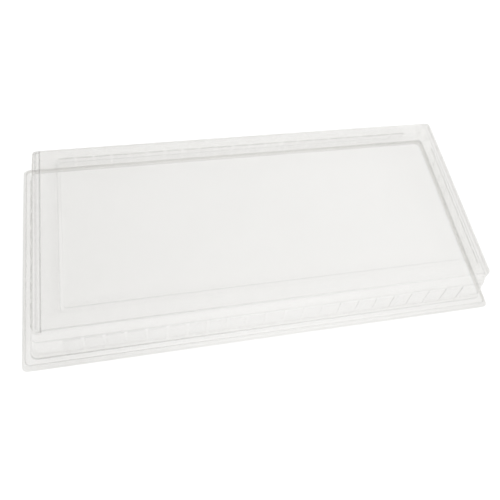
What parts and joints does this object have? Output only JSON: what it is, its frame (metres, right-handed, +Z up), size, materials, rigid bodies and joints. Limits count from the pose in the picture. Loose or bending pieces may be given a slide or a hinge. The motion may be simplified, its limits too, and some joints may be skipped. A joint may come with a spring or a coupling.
{
  "type": "humidity dome",
  "caption": "Low clear rectangular humidity dome: raised centre panel, leaning walls with a belt of upright pads, and a flat lip that rests on a nursery tray.",
  "frame": {"origin": "centre of the footprint, on the plane the lip rests on", "axes": "+X along the length, +Y along the width, +Z up from the open side to the top"},
  "size_m": [0.559, 0.261, 0.0701],
  "materials": {
    "clear_sheet": "thin clear formed sheet, glossy"
  },
  "bodies": {
    "root": {"dome_cover": "clear_sheet"}
  },
  "joints": []
}
